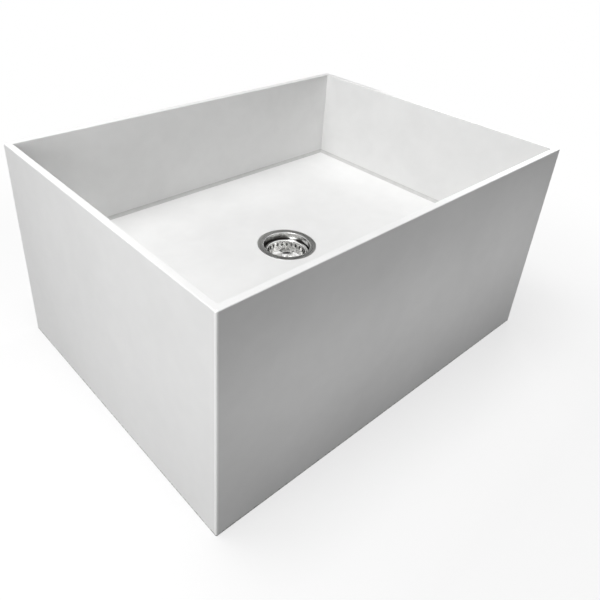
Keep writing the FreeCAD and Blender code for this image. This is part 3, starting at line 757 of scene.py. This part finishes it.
def raise_grip_ribs(piece, radius, depth, facets, spacing):
    """Raises every so many facets of a ring's outer wall as a rib."""
    bpy.ops.object.mode_set(mode="EDIT")
    bpy.ops.mesh.select_mode(type="FACE")
    bpy.ops.mesh.select_all(action="DESELECT")
    bpy.ops.object.mode_set(mode="OBJECT")
    for face in piece.data.polygons:
        across = face.center.xy
        level = face.normal.xy
        in_wall = level.length > WALL_SHARE and level.dot(across) > 0 and across.length > radius * WALL_SHARE
        facet = round(math.atan2(across.y, across.x) / math.tau * facets - 0.5)
        face.select = in_wall and facet % spacing == 0
    growth = 1 + depth / radius
    bpy.ops.object.mode_set(mode="EDIT")
    bpy.ops.mesh.extrude_region_move()
    bpy.ops.transform.resize(value=(growth, growth, 1), center_override=(0, 0, 0))
    bpy.ops.object.mode_set(mode="OBJECT")


def wind_thread(context, crest, depth, pitch, start, turns):
    """A closed ridge wound upwards round the drain's axis, its root sunk a little into the pipe."""
    sunk = depth * SUNK_SHARE
    middle = (crest - (depth + sunk) / 2, 0, start)
    start_piece()
    bpy.ops.mesh.primitive_plane_add(size=1, location=middle, rotation=(math.pi / 2, 0, 0))
    bpy.ops.transform.resize(value=(depth + sunk, 1, pitch * ROOT_SHARE))
    apply_place()
    ridge = context.active_object
    bpy.ops.object.mode_set(mode="EDIT")
    bpy.ops.mesh.delete(type="ONLY_FACE")
    select_edges(ridge, lambda corner: corner.x > crest - depth / 2)
    bpy.ops.transform.resize(value=(1, 1, CREST_SHARE), center_override=(crest, 0, start))
    bpy.ops.object.mode_set(mode="OBJECT")
    apply_modifier(ridge, "SCREW", angle=math.tau, screw_offset=pitch, iterations=turns,
                   steps=THREAD_STEPS, render_steps=THREAD_STEPS)
    bpy.ops.object.mode_set(mode="EDIT")
    bpy.ops.mesh.select_all(action="SELECT")
    bpy.ops.mesh.remove_doubles(threshold=MERGE_DISTANCE)
    bpy.ops.mesh.fill_holes(sides=0)
    turn_faces_out()
    bpy.ops.object.mode_set(mode="OBJECT")
    # Its steps then fall between the pipe's facets, and the two join cleanly
    ridge.rotation_euler.z = math.tau / math.lcm(OUTLET_FACETS, THREAD_STEPS) / 2
    apply_place()
    return ridge


def join_pieces(context, piece, other):
    """Joins another closed piece to one, which is the active one afterwards."""
    start_piece()
    context.view_layer.objects.active = piece
    piece.select_set(True)
    apply_modifier(piece, "BOOLEAN", operation="UNION", solver="EXACT", object=other)
    bpy.data.objects.remove(other)


def mount_radius(name):
    """The radius of one of the record's mounts."""
    mount = next(mount for mount in frame["record"]["mounts"] if mount["name"] == name)
    return mount["dims"]["r_mm"] / MILLIMETRES_PER_METRE


class WASHTUB_OT_threaded_outlet(Operator):
    """Turns the outlet under the strainer, with its grip ribs and its thread"""

    bl_idname = "washtub.threaded_outlet"
    bl_label = "Threaded outlet"

    def execute(self, context):
        sizes = context.scene.tub_sizes
        low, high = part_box("outlet_reducer")
        seat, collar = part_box("reducer_seal")
        crest = mount_radius("drain_outlet")
        pipe = crest - sizes.thread_depth
        bore = sizes.outlet_bore / 2
        cup = collar.x - sizes.outlet_wall
        skirt = high.x - sizes.outlet_wall
        grip = high.x - sizes.grip_depth
        shoulder = low.z + sizes.outlet_pipe
        turn_ring([
            (cup, seat.z),
            (skirt, seat.z),
            (skirt, high.z),
            (grip, high.z),
            (grip, seat.z - sizes.outlet_wall),
            (crest, shoulder),
            (crest, shoulder - sizes.thread_lead),
            (pipe, shoulder - sizes.thread_lead),
            (pipe, low.z),
            (bore, low.z),
            (bore, shoulder),
        ], OUTLET_FACETS)
        piece = context.active_object
        raise_grip_ribs(piece, grip, sizes.grip_depth, OUTLET_FACETS, RIB_SPACING)
        apply_modifier(piece, "BEVEL", width=sizes.moulded_edge, segments=2, limit_method="ANGLE",
                       angle_limit=SHARP_ANGLE)
        start = low.z + sizes.thread_lead
        turns = math.floor((sizes.outlet_pipe - PLAIN_LEADS * sizes.thread_lead) / sizes.thread_pitch)
        ridge = wind_thread(context, crest, sizes.thread_depth, sizes.thread_pitch, start, turns)
        join_pieces(context, piece, ridge)
        # It is moulded of the waste body's plastic, which that piece wears already
        plastic = NODES["waste_body"].data.materials[0]
        finish_piece(context, "threaded_outlet", plastic, "tub")
        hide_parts("outlet_reducer")
        return {"FINISHED"}


def background_rays(graph):
    """One for rays that show the background: straight, mirrored or through something clear."""
    path = graph.add("ShaderNodeLightPath").outputs
    mirrored = graph.math("MAXIMUM", path["Is Glossy Ray"], path["Is Transmission Ray"])
    return graph.math("MAXIMUM", path["Is Camera Ray"], mirrored)


def pale_floor(studio):
    """Pale floor that runs out into white, and throws back little light."""
    material, graph, shader = new_finish("Studio floor", Roughness=0.85)
    shown = background_rays(graph)
    far = graph.spread(graph.radius(), low=studio.fade_near, high=studio.fade_far, start=studio.floor_glow)
    tone = graph.mix(shown, shade(studio.floor_bounce), shade(studio.floor_tone))
    graph.feed(shader["Base Color"], tone)
    lit = material.node_tree.nodes["Principled BSDF"].outputs["BSDF"]
    white = graph.add("ShaderNodeEmission", Color=WHITE, Strength=1.0).outputs["Emission"]
    surface = graph.blend(graph.math("MULTIPLY", shown, far), lit, white)
    graph.feed(material.node_tree.nodes["Material Output"].inputs["Surface"], surface)
    return material


def lay_floor(context):
    """Lays the floor that the tub stands on."""
    studio = context.scene.tub_studio
    start_piece()
    bpy.ops.mesh.primitive_plane_add(size=studio.floor_size)
    floor = context.active_object
    floor.name = "studio_floor"
    floor.data.materials.append(pale_floor(studio))


def studio_room(context):
    """White to look at, dim as a light."""
    studio = context.scene.tub_studio
    world = bpy.data.worlds.new("Studio room")
    context.scene.world = world
    world.use_nodes = True
    graph = Graph(world.node_tree)
    dim = world.node_tree.nodes["Background"]
    graph.feed(dim.inputs["Color"], shade(studio.room_tint))
    graph.feed(dim.inputs["Strength"], studio.ambient)
    white = graph.add("ShaderNodeBackground", Color=WHITE, Strength=1.0)
    room = graph.blend(background_rays(graph), dim.outputs["Background"], white.outputs["Background"])
    graph.feed(world.node_tree.nodes["World Output"].inputs["Surface"], room)


def soft_lamp(context, name, place, aim, width, height, power, mirrored=True):
    """A flat lamp that faces a point. It isn't seen itself, and mirrored says if reflections show it."""
    turn = (Vector(aim) - Vector(place)).to_track_quat("-Z", "Y").to_euler()
    bpy.ops.object.light_add(type="AREA", location=place, rotation=turn)
    lamp = context.active_object
    lamp.name = name
    lamp.visible_camera = False
    lamp.visible_glossy = mirrored
    lamp.data.shape = "RECTANGLE"
    lamp.data.size = width
    lamp.data.size_y = height
    lamp.data.energy = power


def dark_card(context, place, aim, size):
    """A dark card that is only seen mirrored, so that the curves of the steel show."""
    turn = (Vector(aim) - Vector(place)).to_track_quat("Z", "Y").to_euler()
    start_piece()
    bpy.ops.mesh.primitive_plane_add(size=size, location=place, rotation=turn)
    card = context.active_object
    card.name = "dark_card"
    card.visible_camera = False
    card.visible_diffuse = False
    card.visible_shadow = False
    material, graph, shader = new_finish("Dark card", Roughness=0.9)
    clouds = graph.effect(cloud_tone, Scale=2.0)
    tone = graph.tone(clouds, context.scene.tub_studio.card_tone, dark=0.625, light=1.0)
    graph.feed(shader["Base Color"], tone)
    card.data.materials.append(material)


def hang_lamps(context):
    """Hangs the lamps and the dark card round the tub."""
    studio = context.scene.tub_studio
    middle = (CAD_BOX[0] + CAD_BOX[1]) / 2
    soft_lamp(context, "overhead_lamp", place=(-0.35, 0.38, 2.4), aim=middle,
              width=1.5, height=1.5, power=studio.key_power, mirrored=False)
    soft_lamp(context, "highlight_lamp", place=(-0.6, 0.05, 2.2), aim=middle,
              width=0.6, height=0.6, power=studio.highlight_power)
    soft_lamp(context, "left_lamp", place=(-1.5, -0.35, 0.6), aim=middle,
              width=0.9, height=0.9, power=studio.left_power)
    soft_lamp(context, "strip_lamp", place=(0.03, -0.55, 0.22), aim=(0.03, 0, 0.22),
              width=1.0, height=0.1, power=studio.strip_power)
    soft_lamp(context, "right_lamp", place=(1.9, 0.65, 0.7), aim=middle,
              width=0.9, height=0.9, power=studio.right_power)
    dark_card(context, place=(1.3, 1.3, 1.35), aim=middle, size=1.5)


def set_camera(context):
    """Stands the camera at the photograph's viewing angle, with its shift a share of the picture's width."""
    studio = context.scene.tub_studio
    bpy.ops.object.camera_add(location=studio.camera_place, rotation=studio.camera_turn)
    camera = context.active_object
    camera.data.sensor_width = SENSOR_WIDTH
    camera.data.lens = studio.focal_pixels / PICTURE_WIDTH * SENSOR_WIDTH
    middle = 0.5
    camera.data.shift_x = middle - studio.centre_left / PICTURE_WIDTH
    camera.data.shift_y = studio.centre_top / PICTURE_WIDTH - middle
    context.scene.camera = camera


class WASHTUB_OT_stage(Operator):
    """Sets up the floor, the room, the lamps and the camera"""

    bl_idname = "washtub.stage"
    bl_label = "Stage"

    def execute(self, context):
        context.scene.view_settings.view_transform = "Standard"
        lay_floor(context)
        studio_room(context)
        hang_lamps(context)
        set_camera(context)
        return {"FINISHED"}


OPERATORS = (
    WASHTUB_OT_cast_sheet,
    WASHTUB_OT_supports,
    WASHTUB_OT_strainer,
    WASHTUB_OT_fasteners,
    WASHTUB_OT_waste,
    WASHTUB_OT_silicone_bead,
    WASHTUB_OT_threaded_outlet,
    WASHTUB_OT_stage,
)
SETTINGS = {"tub_colours": TubColours, "tub_sizes": TubSizes, "tub_studio": TubStudio}


class WASHTUB_PT_sidebar(Panel):
    """Lists the tub's pieces and settings"""

    bl_idname = "WASHTUB_PT_sidebar"
    bl_label = "Pet Wash Tub"
    bl_space_type = "VIEW_3D"
    bl_region_type = "UI"
    bl_category = "Wash Tub"

    def draw(self, context):
        for operator in OPERATORS:
            self.layout.operator(operator.bl_idname)
        for setting, group in SETTINGS.items():
            box = self.layout.box()
            for name in group.__annotations__:
                box.prop(getattr(context.scene, setting), name)


def register():
    """Makes the settings, the operators and the panel known."""
    for kind in (*SETTINGS.values(), *OPERATORS, WASHTUB_PT_sidebar):
        bpy.utils.register_class(kind)
    for setting, group in SETTINGS.items():
        setattr(bpy.types.Scene, setting, PointerProperty(type=group))


def unregister():
    """Takes them away again."""
    for setting in SETTINGS:
        delattr(bpy.types.Scene, setting)
    for kind in (WASHTUB_PT_sidebar, *reversed(OPERATORS), *SETTINGS.values()):
        bpy.utils.unregister_class(kind)


def main():
    """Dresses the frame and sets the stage."""
    register()
    bpy.ops.washtub.cast_sheet()
    bpy.ops.washtub.supports()
    bpy.ops.washtub.strainer()
    bpy.ops.washtub.fasteners()
    bpy.ops.washtub.waste()
    bpy.ops.washtub.silicone_bead()
    bpy.ops.washtub.threaded_outlet()
    bpy.ops.washtub.stage()


if __name__ == "__main__":
    main()
